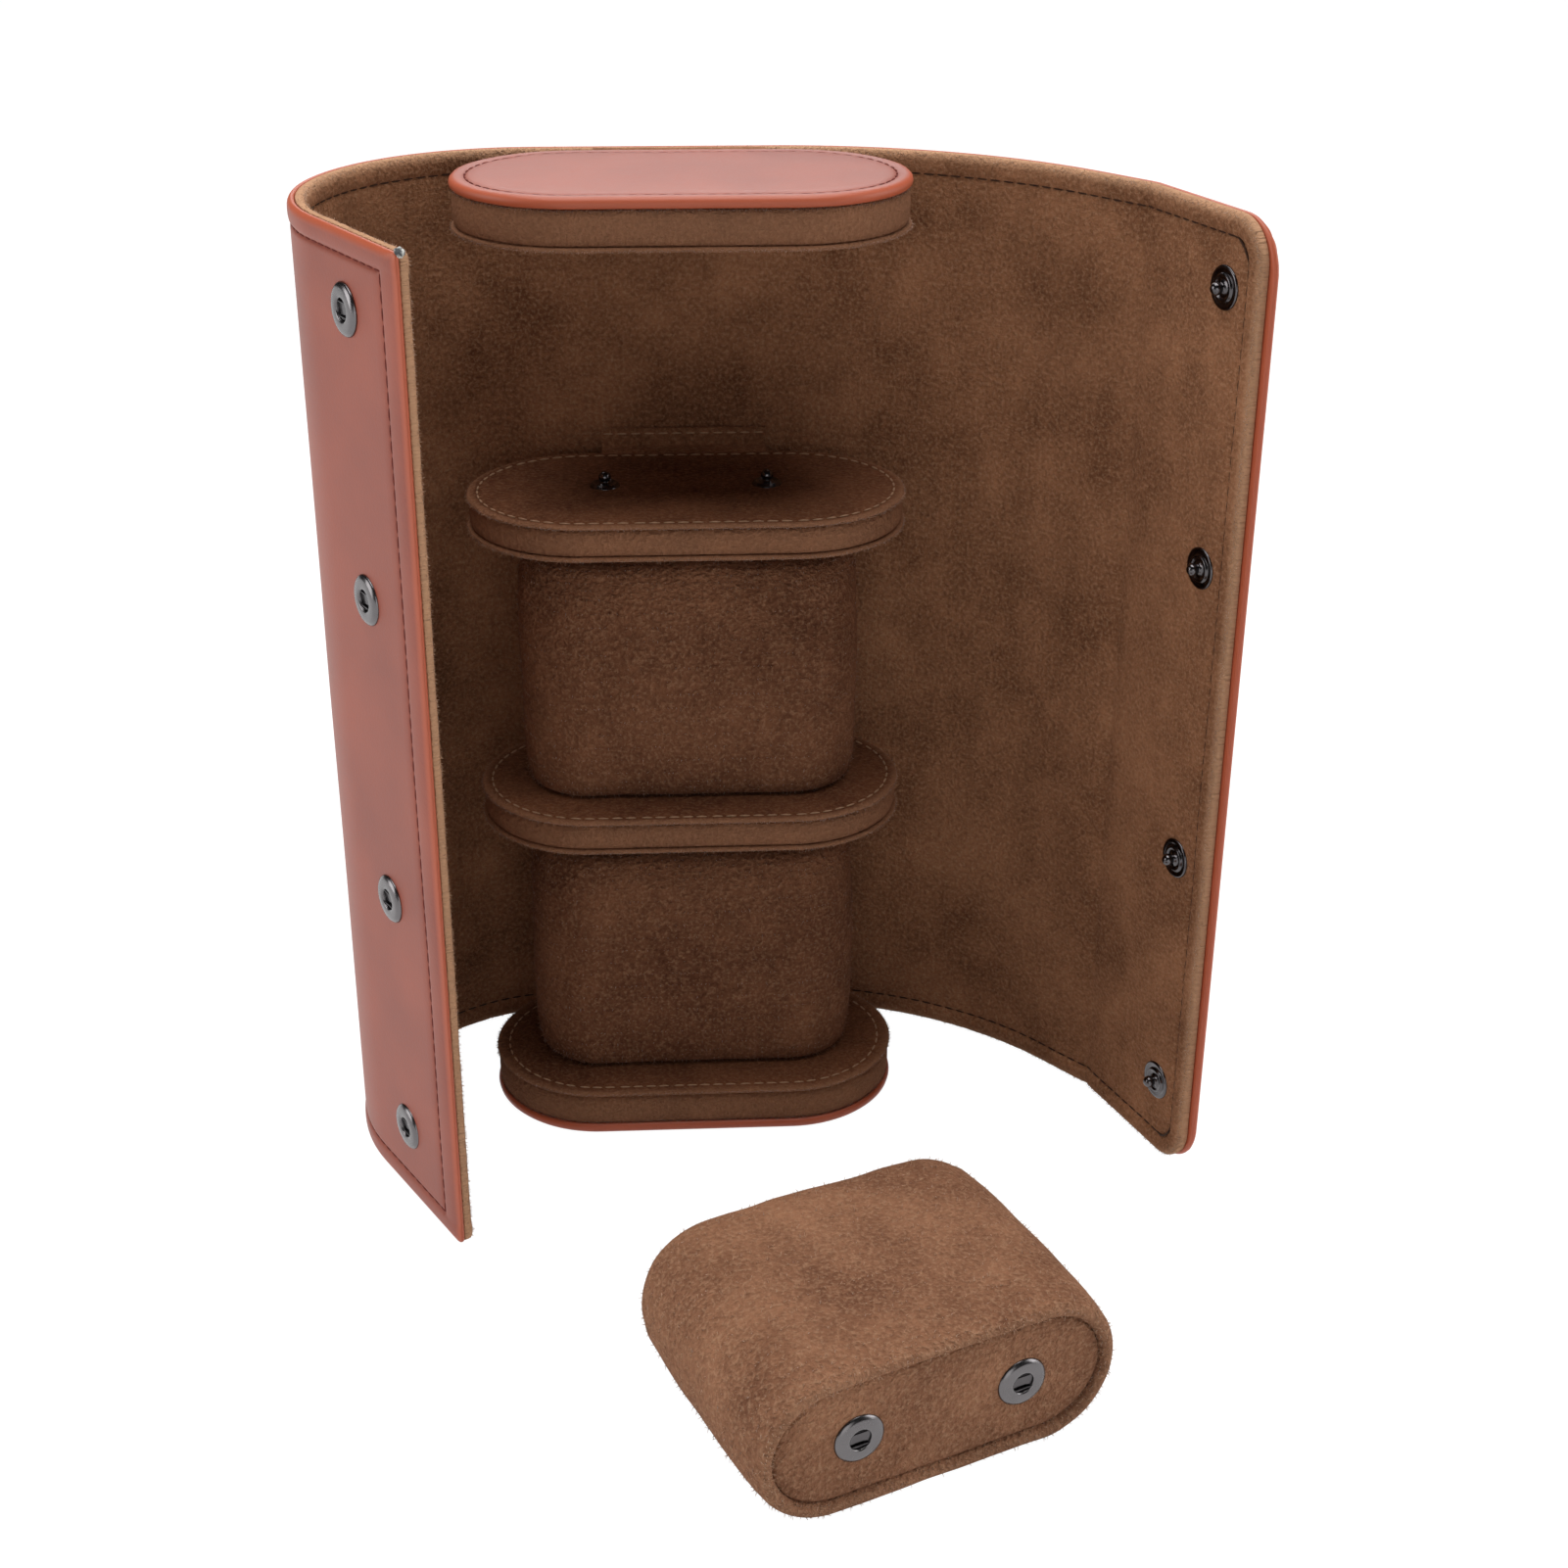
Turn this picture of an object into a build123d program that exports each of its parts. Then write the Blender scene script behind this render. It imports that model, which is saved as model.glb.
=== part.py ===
"""Three-slot watch roll, standing on its bottom cap with the wrap open.

A stiffened wrap of leather, board and suede lining stands in a C round a stack of four flat
stadium-shaped discs. Each disc hangs from the back of the wrap on a sewn tab. The wrap bends along
upright lines into panels and closes with four press snaps. Watch cushions snap onto studs on the
discs; the third cushion lies loose in front.

Millimetres, Z up. The origin is the middle of the bottom cap's underside, and the back of the wrap
is at +Y.
"""

import os
from math import cos, radians, sin, sqrt, tan

from build123d import *

os.makedirs("parts", exist_ok=True)

# Discs: the two end caps and the two dividers
disc_width = 94.0
disc_depth = 50.0
cap_thick = 11.0
divider_thick = 8.0
face_thick = 1.6
cap_leather_thick = 2.4
cap_leather_round = 1.0
face_chamfer = 0.4
band_thick = 1.5
band_inset = 0.6

# Cushions
cushion_length = 54.5
cushion_width = 74.0
cushion_thick = 32.0
cushion_crown = 0.6
cushion_draw_in = 1.0
cushion_roll = 4.0
cover_thick = 1.2
cushion_back_set = 1.5
end_panel_margin = 5.4
end_panel_thick = 1.2
end_panel_groove = 0.5
seat_gap = 0.3
lying_turn = 23.5
lying_place = (43.5, -143.5)

# Room above a cushion in the lower, middle and upper slot
lower_slot_play = 7.5
middle_slot_play = 5.5
upper_slot_play = 1.5

# Wrap layers, from outside in
leather_thick = 1.2
board_thick = 0.9
lining_thick = 1.1
back_gap = 6.5
cap_stand_proud = 1.0
hem_width = 7.0
lining_set_in = 0.8

# Middle line of the wrap: straight back, one bend each side, straight front
left_back_run = 32.0
left_bend_radius = 44.0
left_bend_angle = 120.669
left_length = 162.0
right_back_run = 20.0
right_bend_radius = 86.0
right_bend_angle = 50.0
right_length = 151.61
crease_angle = 18.0
flap_corner_radius = 11.0

# Fold lines, measured along the wrap from the middle of the back
left_folds = (29.0, 61.0, 93.0)
right_folds = (29.0, 58.0, 87.0)
crease_at = 110.0
fold_gap = 0.3
fold_relief = 18.0
crease_relief = 33.0

# Press snaps
snap_ring_radius = 5.25
snap_ring_proud = 0.9
snap_hole_radius = 2.2
snap_barrel_radius = 2.9
snap_barrel_depth = 2.0
snap_ring_dome = 0.35
spring_radius = 0.18
spring_offset = 1.75
spring_height = 0.5
stud_flange_radius = 4.8
stud_flange_thick = 0.4
stud_collar_radius = 1.8
stud_collar_height = 0.9
stud_neck_radius = 0.95
stud_ball_radius = 1.35
stud_ball_height = 1.9
stud_shank_radius = 1.2
socket_from_edge = 23.0
stud_from_edge = 13.0
snap_rows_from_bottom = (18.0, 75.0, 142.0)
top_snap_from_top = 15.0
cushion_snap_spacing = 35.0
snap_seat_height = 1.6

# Sewn tabs that carry the discs
tab_width = 37.0
tab_thick = 1.0
tab_sewn_height = 5.0
tab_clearance = 0.3

# Worked out from the sizes above
wall_thick = leather_thick + board_thick + lining_thick
outer_face = wall_thick / 2
board_outer = outer_face - leather_thick
board_inner = board_outer - board_thick
inner_face = -wall_thick / 2
back_face = disc_depth / 2 + back_gap
back_line = back_face + wall_thick / 2

bottom_cap_top = cap_thick
lower_divider_top = bottom_cap_top + cushion_length + lower_slot_play + divider_thick
upper_divider_top = lower_divider_top + cushion_length + middle_slot_play + divider_thick
top_cap_top = upper_divider_top + cushion_length + upper_slot_play + cap_thick
wall_height = top_cap_top - cap_stand_proud
snap_rows = snap_rows_from_bottom + (wall_height - top_snap_from_top,)

left_bend_run = left_bend_radius * radians(left_bend_angle)
right_bend_run = right_bend_radius * radians(right_bend_angle)

# Each stretch: its length, its bend radius or None, and the fold before it in degrees
left_stretches = (
    (left_back_run, None, 0.0),
    (left_bend_run, left_bend_radius, 0.0),
    (left_length - left_back_run - left_bend_run, None, 0.0),
)
right_stretches = (
    (right_back_run, None, 0.0),
    (right_bend_run, right_bend_radius, 0.0),
    (crease_at - right_back_run - right_bend_run, None, 0.0),
    (right_length - crease_at, None, crease_angle),
)


def station(along):
    """Middle line of the wrap at a signed distance from the back's middle, left positive.

    Gives x, y, the angle turned from the back's line, and the side as -1 (left) or 1 (right).
    """
    side = -1 if along >= 0 else 1
    stretches = left_stretches if along >= 0 else right_stretches
    left_to_go = abs(along)
    x, y, turned = 0.0, back_line, 0.0
    for length, radius, fold in stretches:
        if left_to_go <= 0:
            break
        turned += radians(fold)
        step = min(length, left_to_go)
        if radius is None:
            x += side * step * cos(turned)
            y -= step * sin(turned)
        else:
            after = turned + step / radius
            x += side * radius * (sin(after) - sin(turned))
            y -= radius * (cos(turned) - cos(after))
            turned = after
        left_to_go -= step
    return x, y, turned, side


def wall_point(along, offset):
    """Plan point of the wrap, offset outwards from its middle line."""
    x, y, turned, side = station(along)
    return (x + side * offset * sin(turned), y + offset * cos(turned))


def wall_plane(along, offset, height):
    """Plane on the wrap that faces outwards, with its y axis up."""
    x, y, turned, side = station(along)
    point = wall_point(along, offset)
    outwards = (side * sin(turned), cos(turned), 0)
    sideways = (-cos(turned), side * sin(turned), 0)
    return Plane(origin=(point[0], point[1], height), x_dir=sideways, z_dir=outwards)


def break_points():
    """Signed distances where the middle line changes from straight to bent or folds."""
    left_bend_end = left_back_run + left_bend_run
    right_bend_end = right_back_run + right_bend_run
    return (left_back_run, left_bend_end, -right_back_run, -right_bend_end, -crease_at)


def is_bent(along):
    """Whether the middle line is an arc at this signed distance."""
    if along >= 0:
        return left_back_run < along < left_back_run + left_bend_run
    return right_back_run < -along < right_back_run + right_bend_run


def draw_along(start, end, offset):
    """Draw the lines and arcs of the wrap from start to end at one offset."""
    low, high = min(start, end), max(start, end)
    marks = [low] + sorted(p for p in break_points() if low < p < high) + [high]
    for near, far in zip(marks, marks[1:]):
        first, last = wall_point(near, offset), wall_point(far, offset)
        middle = (near + far) / 2
        if is_bent(middle):
            ThreePointArc(first, wall_point(middle, offset), last)
        else:
            Line(first, last)


def trimmed(along, offset, relief, inwards):
    """A panel's end, set back from its fold so that the faces clear when it folds."""
    if relief is None:
        return along
    return along + inwards * (fold_gap / 2 + abs(offset) * tan(radians(relief)))


def layer(start, end, start_relief, end_relief, inner, outer, bottom, top):
    """One flat or curved layer of a panel, between two offsets and two heights."""
    forward = 1 if end > start else -1
    with BuildPart() as made:
        with BuildSketch(Plane.XY.offset(bottom)):
            with BuildLine():
                inner_ends = (
                    trimmed(start, inner, start_relief, forward),
                    trimmed(end, inner, end_relief, -forward),
                )
                outer_ends = (
                    trimmed(start, outer, start_relief, forward),
                    trimmed(end, outer, end_relief, -forward),
                )
                draw_along(inner_ends[0], inner_ends[1], inner)
                draw_along(outer_ends[0], outer_ends[1], outer)
                for inner_end, outer_end in zip(inner_ends, outer_ends):
                    Line(wall_point(inner_end, inner), wall_point(outer_end, outer))
            make_face()
        extrude(amount=top - bottom)
    return made.part


def rounded_flap(set_in, radius):
    """Block that keeps the snap flap inside its rounded free corners."""
    run = right_length - crease_at + fold_gap - set_in
    with BuildPart() as keeper:
        with BuildSketch(wall_plane(-right_length, 0, wall_height / 2)) as outline:
            with Locations((set_in + run / 2, 0)):
                Rectangle(run, wall_height - 2 * set_in)
            fillet(outline.vertices().group_by(Axis.X)[0], radius)
        extrude(amount=2 * wall_thick, both=True)
    return keeper.part


# Snap hardware, drawn once about the Z axis with the seat face at zero
with BuildPart() as stud:
    with BuildSketch(Plane.XZ):
        with BuildLine():
            Polyline(
                (0, -face_thick),
                (stud_shank_radius, -face_thick),
                (stud_shank_radius, 0),
                (stud_flange_radius, 0),
                (stud_flange_radius, stud_flange_thick),
                (stud_collar_radius, stud_flange_thick),
                (stud_neck_radius, stud_collar_height),
                (stud_neck_radius, stud_ball_height),
                (0, stud_ball_height),
                (0, -face_thick),
            )
        make_face()
    revolve(axis=Axis.Z)
    with Locations((0, 0, stud_ball_height)):
        Sphere(stud_ball_radius)

with BuildPart() as flap_stud:
    add(stud.part)
    with Locations((0, 0, -lining_thick)):
        Cylinder(
            2 * stud_shank_radius,
            face_thick,
            align=(Align.CENTER, Align.CENTER, Align.MAX),
            mode=Mode.SUBTRACT,
        )

with BuildPart() as socket_ring:
    Cylinder(snap_ring_radius, snap_ring_proud, align=(Align.CENTER, Align.CENTER, Align.MIN))
    fillet(socket_ring.edges().group_by(Axis.Z)[-1], snap_ring_dome)
    Cylinder(snap_barrel_radius, snap_barrel_depth, align=(Align.CENTER, Align.CENTER, Align.MAX))
    Hole(snap_hole_radius)

spring_half = sqrt(snap_hole_radius**2 - (spring_offset + spring_radius) ** 2)
with BuildPart() as socket_spring:
    with BuildSketch(Plane.XZ.offset(spring_half)):
        with Locations((-spring_offset, spring_height), (spring_offset, spring_height)):
            Circle(spring_radius)
    extrude(amount=-2 * spring_half)


# Wrap panels: name, start, end, and the relief at a folding start and end
left_ends = left_folds + (left_length,)
right_ends = right_folds + (crease_at, right_length)
panels = [("spine", -right_folds[0], left_folds[0], fold_relief, fold_relief)]
for number, name in enumerate(("left_wing_1", "left_wing_2", "left_front")):
    end_relief = fold_relief if number < 2 else None
    panels.append((name, left_ends[number], left_ends[number + 1], fold_relief, end_relief))
right_reliefs = (fold_relief, fold_relief, fold_relief, crease_relief, None)
for number, name in enumerate(("right_wing_1", "right_wing_2", "right_wing_3", "snap_flap")):
    panels.append(
        (
            name,
            -right_ends[number],
            -right_ends[number + 1],
            right_reliefs[number],
            right_reliefs[number + 1],
        )
    )

socket_planes = [
    wall_plane(left_length - socket_from_edge, outer_face, height) for height in snap_rows
]
stud_planes = [
    wall_plane(-(right_length - stud_from_edge), inner_face, height) for height in snap_rows
]

for name, start, end, start_relief, end_relief in panels:
    ends = (start, end, start_relief, end_relief)
    toward_back = -1 if end > 0 else 1
    hem_start = end + toward_back * hem_width

    with BuildPart() as leather:
        add(layer(*ends, board_outer, outer_face, 0, wall_height))
        add(layer(*ends, board_inner, board_outer, 0, hem_width))
        add(layer(*ends, board_inner, board_outer, wall_height - hem_width, wall_height))
        if end_relief is None:
            add(layer(hem_start, end, None, None, board_inner, board_outer, 0, wall_height))
        if name == "snap_flap":
            add(rounded_flap(0, flap_corner_radius), mode=Mode.INTERSECT)
        if name == "left_front":
            with Locations(*[plane.location for plane in socket_planes]):
                Cylinder(snap_barrel_radius, 2 * wall_thick, mode=Mode.SUBTRACT)
    leather.part.label = name + "_leather"
    export_step(leather.part, "parts/" + name + "_leather.step")

    board_end = hem_start if end_relief is None else end
    with BuildPart() as board:
        add(
            layer(
                start,
                board_end,
                start_relief,
                end_relief,
                board_inner,
                board_outer,
                hem_width,
                wall_height - hem_width,
            )
        )
        if name == "left_front":
            with Locations(*[plane.location for plane in socket_planes]):
                Cylinder(snap_barrel_radius, 2 * wall_thick, mode=Mode.SUBTRACT)
    board.part.label = name + "_board"
    export_step(board.part, "parts/" + name + "_board.step")

    with BuildPart() as lining:
        lining_heights = (lining_set_in, wall_height - lining_set_in)
        add(layer(*ends, inner_face, board_inner, *lining_heights))
        if name == "snap_flap":
            add(rounded_flap(lining_set_in, flap_corner_radius), mode=Mode.INTERSECT)
            with Locations(*[plane.location for plane in stud_planes]):
                Cylinder(stud_shank_radius, 2 * wall_thick, mode=Mode.SUBTRACT)
    lining.part.label = name + "_lining"
    export_step(lining.part, "parts/" + name + "_lining.step")

# Open ring sockets with their spring wires, along the left free edge
with BuildPart() as edge_sockets:
    with Locations(*[plane.location for plane in socket_planes]):
        add(socket_ring.part)
edge_sockets.part.label = "edge_sockets"
export_step(edge_sockets.part, "parts/edge_sockets.step")

with BuildPart() as edge_socket_springs:
    with Locations(*[plane.location for plane in socket_planes]):
        add(socket_spring.part)
edge_socket_springs.part.label = "edge_socket_springs"
export_step(edge_socket_springs.part, "parts/edge_socket_springs.step")

# Studs on the lining of the snap flap, facing inwards
with BuildPart() as flap_studs:
    for plane in stud_planes:
        inward_plane = Plane(origin=plane.origin, x_dir=plane.x_dir, z_dir=-plane.z_dir)
        with Locations(inward_plane.location):
            add(flap_stud.part)
flap_studs.part.label = "flap_studs"
export_step(flap_studs.part, "parts/flap_studs.step")


def disc_layer(bottom, thickness, set_in):
    """Flat stadium slab of a disc, set in from the full outline."""
    with BuildPart() as slab:
        with BuildSketch(Plane.XY.offset(bottom)):
            length = disc_width - 2 * set_in
            height = disc_depth - 2 * set_in
            SlotOverall(length, height)
        extrude(amount=thickness)
    return slab.part


snap_places = [(-cushion_snap_spacing / 2, 0), (cushion_snap_spacing / 2, 0)]

# Discs: name, top height, thickness, leather side, and whether it carries studs
discs = (
    ("top_cap", top_cap_top, cap_thick, "top", False),
    ("upper_divider", upper_divider_top, divider_thick, None, True),
    ("lower_divider", lower_divider_top, divider_thick, None, True),
    ("bottom_cap", bottom_cap_top, cap_thick, "bottom", True),
)
for name, top, thickness, leather_side, has_studs in discs:
    top_thick = cap_leather_thick if leather_side == "top" else face_thick
    base_thick = cap_leather_thick if leather_side == "bottom" else face_thick
    bottom = top - thickness
    band_bottom = bottom + base_thick
    band_height = thickness - top_thick - base_thick
    stud_seats = [(x, cushion_back_set, top) for x, _ in snap_places]

    with BuildPart() as top_face:
        add(disc_layer(top - top_thick, top_thick, 0))
        rim = top_face.edges().group_by(Axis.Z)[-1]
        if leather_side == "top":
            fillet(rim, cap_leather_round)
        else:
            chamfer(rim, face_chamfer)
        if has_studs:
            with Locations(*stud_seats):
                Cylinder(stud_shank_radius, 2 * top_thick, mode=Mode.SUBTRACT)
    top_face.part.label = name + "_top_face"
    export_step(top_face.part, "parts/" + name + "_top_face.step")

    with BuildPart() as base_face:
        add(disc_layer(bottom, base_thick, 0))
        rim = base_face.edges().group_by(Axis.Z)[0]
        if leather_side == "bottom":
            fillet(rim, cap_leather_round)
        else:
            chamfer(rim, face_chamfer)
    base_face.part.label = name + "_base_face"
    export_step(base_face.part, "parts/" + name + "_base_face.step")

    with BuildPart() as band:
        add(disc_layer(band_bottom, band_height, band_inset))
        add(disc_layer(band_bottom, band_height, band_inset + band_thick), mode=Mode.SUBTRACT)
    band.part.label = name + "_band"
    export_step(band.part, "parts/" + name + "_band.step")

    with BuildPart() as core:
        add(disc_layer(band_bottom, band_height, band_inset + band_thick))
    core.part.label = name + "_core"
    export_step(core.part, "parts/" + name + "_core.step")

    if has_studs:
        with BuildPart() as disc_studs:
            with Locations(*stud_seats):
                add(stud.part)
        disc_studs.part.label = name + "_studs"
        export_step(disc_studs.part, "parts/" + name + "_studs.step")

# Sewn tabs: a strip stitched flat to the lining, turned out to the back edge of each disc
with BuildPart() as sewn_tabs:
    for name, top, thickness, leather_side, has_studs in discs:
        below_wall_top = wall_height - lining_set_in - tab_sewn_height
        sewn_bottom = min(top - tab_thick, below_wall_top)
        sewn_top = max(top, sewn_bottom + tab_sewn_height)
        strip_y = (disc_depth / 2 + tab_clearance, back_face)
        with Locations((0, (strip_y[0] + strip_y[1]) / 2, top)):
            Box(
                tab_width,
                strip_y[1] - strip_y[0],
                tab_thick,
                align=(Align.CENTER, Align.CENTER, Align.MAX),
            )
        with Locations((0, back_face, sewn_bottom)):
            Box(
                tab_width,
                tab_thick,
                sewn_top - sewn_bottom,
                align=(Align.CENTER, Align.MAX, Align.MIN),
            )
sewn_tabs.part.label = "sewn_tabs"
export_step(sewn_tabs.part, "parts/sewn_tabs.step")


def cushion_section(height, set_in):
    """Stadium section of a cushion in its own frame, set in from its full size."""
    with BuildSketch(Plane.XY.offset(height)) as section:
        SlotOverall(cushion_width - 2 * set_in, cushion_thick - 2 * set_in)
    return section.sketch


def cushion_form(skin):
    """Crowned body, fullest at mid length and drawn in to its ends, less a skin all over."""
    with BuildPart() as form:
        loft(
            sections=[
                cushion_section(skin, skin + cushion_draw_in),
                cushion_section(cushion_length / 2, skin),
                cushion_section(cushion_length - skin, skin + cushion_draw_in - cushion_crown),
            ]
        )
        fillet(form.faces().filter_by(Plane.XY).edges(), cushion_roll - skin)
    return form.part


cushion_body = cushion_form(0)
cushion_filling = cushion_form(cover_thick)

# Snap end of a cushion, in its own frame: the end panel sits inside the rolled rim
panel_face = snap_seat_height - seat_gap
panel_back = panel_face + end_panel_thick
panel_width = cushion_width - 2 * end_panel_margin
panel_height = cushion_thick - 2 * end_panel_margin
socket_seats = [
    Plane(origin=(x, 0, panel_face), x_dir=(1, 0, 0), z_dir=(0, 0, -1)) for x, _ in snap_places
]
socket_spots = [plane.location for plane in socket_seats]

with BuildPart() as cushion_cover:
    add(cushion_body)
    add(cushion_filling, mode=Mode.SUBTRACT)
    with BuildSketch(Plane.XY):
        SlotOverall(panel_width + 2 * end_panel_groove, panel_height + 2 * end_panel_groove)
    extrude(amount=panel_back, mode=Mode.SUBTRACT)

with BuildPart() as cushion_core:
    add(cushion_filling)
    with BuildSketch(Plane.XY):
        SlotOverall(panel_width + 2 * end_panel_groove, panel_height + 2 * end_panel_groove)
    extrude(amount=panel_back, mode=Mode.SUBTRACT)
    with Locations(*socket_spots):
        Cylinder(snap_barrel_radius, 2 * snap_barrel_depth, mode=Mode.SUBTRACT)

with BuildPart() as cushion_end_panel:
    with BuildSketch(Plane.XY.offset(panel_face)):
        SlotOverall(panel_width, panel_height)
    extrude(amount=end_panel_thick)
    with Locations(*socket_spots):
        Cylinder(snap_barrel_radius, 2 * snap_barrel_depth, mode=Mode.SUBTRACT)

with BuildPart() as cushion_sockets:
    with Locations(*socket_spots):
        add(socket_ring.part)
        add(socket_spring.part)

# Two cushions stand on the studs; the third lies on its broad side in front
lying_plane = Plane(
    origin=(lying_place[0], lying_place[1], cushion_thick / 2),
    x_dir=(cos(radians(lying_turn)), sin(radians(lying_turn)), 0),
    z_dir=(-sin(radians(lying_turn)), cos(radians(lying_turn)), 0),
)
cushions = (
    ("lower_cushion", Plane((0, cushion_back_set, bottom_cap_top + seat_gap))),
    ("middle_cushion", Plane((0, cushion_back_set, lower_divider_top + seat_gap))),
    ("loose_cushion", lying_plane),
)
cushion_pieces = (
    ("cover", cushion_cover),
    ("core", cushion_core),
    ("end_panel", cushion_end_panel),
    ("sockets", cushion_sockets),
)
for name, plane in cushions:
    for piece_name, piece in cushion_pieces:
        with BuildPart() as placed:
            with Locations(plane.location):
                add(piece.part)
        placed.part.label = name + "_" + piece_name
        export_step(placed.part, "parts/" + placed.part.label + ".step")
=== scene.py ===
"""Looks of the watch roll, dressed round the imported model, which sets every size and place.

Plan sizes are written in millimetres, as in the part's source, and become metres when a piece is
finished.
"""

import collections
import math
import random

import bmesh
import bpy
import numpy as np
from mathutils import Matrix, Vector, noise


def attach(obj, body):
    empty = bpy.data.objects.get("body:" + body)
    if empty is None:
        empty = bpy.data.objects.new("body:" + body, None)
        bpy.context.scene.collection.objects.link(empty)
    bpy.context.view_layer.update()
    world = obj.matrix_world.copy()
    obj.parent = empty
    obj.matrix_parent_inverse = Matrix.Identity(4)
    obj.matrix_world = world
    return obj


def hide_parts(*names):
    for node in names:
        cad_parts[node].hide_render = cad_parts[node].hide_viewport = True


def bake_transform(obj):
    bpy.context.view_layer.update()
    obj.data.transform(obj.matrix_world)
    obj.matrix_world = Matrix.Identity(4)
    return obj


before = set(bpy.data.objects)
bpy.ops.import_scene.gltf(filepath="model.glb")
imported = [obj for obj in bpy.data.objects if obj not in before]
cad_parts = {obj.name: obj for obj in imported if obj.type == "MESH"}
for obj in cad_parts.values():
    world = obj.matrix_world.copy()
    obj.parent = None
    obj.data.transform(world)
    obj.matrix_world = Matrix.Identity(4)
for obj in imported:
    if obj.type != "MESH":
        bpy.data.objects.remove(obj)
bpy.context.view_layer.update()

# Camera
# The photograph's viewpoint: above and in front of the open roll, looking down into it. Its lens and
# place were worked out from the outlines of the discs, the snaps and the free edges.
MM = 0.001
camera_data = bpy.data.cameras.new("photo_camera")
camera_data.sensor_width = 36.0
camera_data.lens = 53.52
camera_data.clip_start = 0.01
camera_data.clip_end = 20.0
camera = bpy.data.objects.new("photo_camera", camera_data)
bpy.context.scene.collection.objects.link(camera)
camera_down, camera_turn, camera_roll = math.radians(25.65), math.radians(3.38), math.radians(0.27)
looking = Vector(
    (
        math.sin(camera_turn) * math.cos(camera_down),
        math.cos(camera_turn) * math.cos(camera_down),
        -math.sin(camera_down),
    )
)
level_right = Vector((math.cos(camera_turn), -math.sin(camera_turn), 0))
level_up = level_right.cross(looking)
right = math.cos(camera_roll) * level_right + math.sin(camera_roll) * level_up
up = math.cos(camera_roll) * level_up - math.sin(camera_roll) * level_right
camera_place = Vector((-7.0, -481.2, 308.9))
camera.matrix_world = Matrix.Translation(camera_place * MM) @ Matrix(
    (right, up, -looking)
).transposed().to_4x4()
bpy.context.scene.camera = camera

# Wrap, outside
# One sheet of smooth reddish-tan leather glued over a stiff board and turned in at every edge.
# The turned hem is padded, and a dark red thread runs in a shallow groove beside it.
wall_height = 215.0
back_line = 33.1
left_length, right_length = 162.0, 151.61
left_bends = ((32.0, None, 0.0), (44.0 * math.radians(120.669), 44.0, 0.0), (left_length, None, 0.0))
right_bends = (
    (20.0, None, 0.0),
    (86.0 * math.radians(50.0), 86.0, 0.0),
    (110.0 - 20.0 - 86.0 * math.radians(50.0), None, 0.0),
    (right_length, None, 18.0),
)
leather_face, leather_back = 1.6, 0.25
hem_stitch_at, side_stitch_at = 4.6, 6.8
edge_lines = (0, 0.1, 0.28, 0.55, 0.9, 1.35, 1.9, 2.6, 3.3, 3.9, 4.25, 4.6, 4.95)
edge_lines += (5.3, 5.9, 6.4, 6.8, 7.2, 8, 10)


def station(along):
    """Point, turn and side of the wrap's middle line at a signed distance, left positive."""
    side = -1 if along >= 0 else 1
    to_go = abs(along)
    x, y, turned = 0.0, back_line, 0.0
    for length, radius, fold in left_bends if along >= 0 else right_bends:
        if to_go <= 0:
            break
        turned += math.radians(fold)
        step = min(length, to_go)
        if radius is None:
            x += side * step * math.cos(turned)
            y -= step * math.sin(turned)
        else:
            after = turned + step / radius
            x += side * radius * (math.sin(after) - math.sin(turned))
            y -= radius * (math.cos(turned) - math.cos(after))
            turned = after
        to_go -= step
    return x, y, turned, side


def on_wrap(along, height, offset):
    """Point of the wrap in millimetres, offset outwards from its middle line."""
    x, y, turned, side = station(along)
    return Vector((x + side * offset * math.sin(turned), y + offset * math.cos(turned), height))


def rolled(depth, reach):
    """Rise of a rolled edge, from 0 at the edge to 1 at its reach."""
    share = min(max(depth / reach, 0.0), 1.0)
    return math.sqrt(1 - (1 - share) ** 2)


def dip(depth, place, width):
    """A soft groove beside an edge."""
    return math.exp(-(((depth - place) / width) ** 2))


def swell(depth, reach):
    """Padding between an edge and its seam."""
    share = min(max(depth / reach, 0.0), 1.0)
    return math.sin(math.pi * share) ** 0.7


def lumps(point, size, amount):
    """Gentle unevenness of a padded or brushed surface."""
    return amount * noise.noise(Vector(point) / size)


class Hem:
    """Edge of one layer of the wrap: how far it is set in, and where its seams run."""

    def __init__(self, set_in, corner_left, corner_right, end_set_in):
        self.low, self.high = set_in, wall_height - set_in
        self.left_end = left_length - end_set_in[0]
        self.right_end = -(right_length - end_set_in[1])
        self.corner = {1: corner_left, -1: corner_right}

    def end_of(self, strip):
        """Where this layer of a strip ends: set in from the wrap's own end where it is free."""
        if not strip.free_end:
            return strip.end
        return self.left_end if strip.end > 0 else self.right_end

    def place(self, along, height):
        """Moves a square corner's point onto its rounding, and measures depth from the edges."""
        free_end = self.left_end if along > 0 else self.right_end
        side = 1 if along > 0 else -1
        corner = self.corner[side]
        from_end = abs(free_end - along) if (free_end - along) * side > 0 else 0.0
        from_rim = max(min(height - self.low, self.high - height), 0.0)
        if from_end < corner and from_rim < corner:
            a, b = 1 - from_end / corner, 1 - from_rim / corner
            reach = max(a, b)
            turn = math.pi / 4 * min(a, b) / max(reach, 1e-9)
            turn = turn if a >= b else math.pi / 2 - turn
            ahead, over = reach * math.cos(turn), reach * math.sin(turn)
            along = free_end - side * corner * (1 - ahead)
            height = (
                self.low + corner * (1 - over)
                if height < wall_height / 2
                else self.high - corner * (1 - over)
            )
        return along, height, from_end, from_rim


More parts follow.
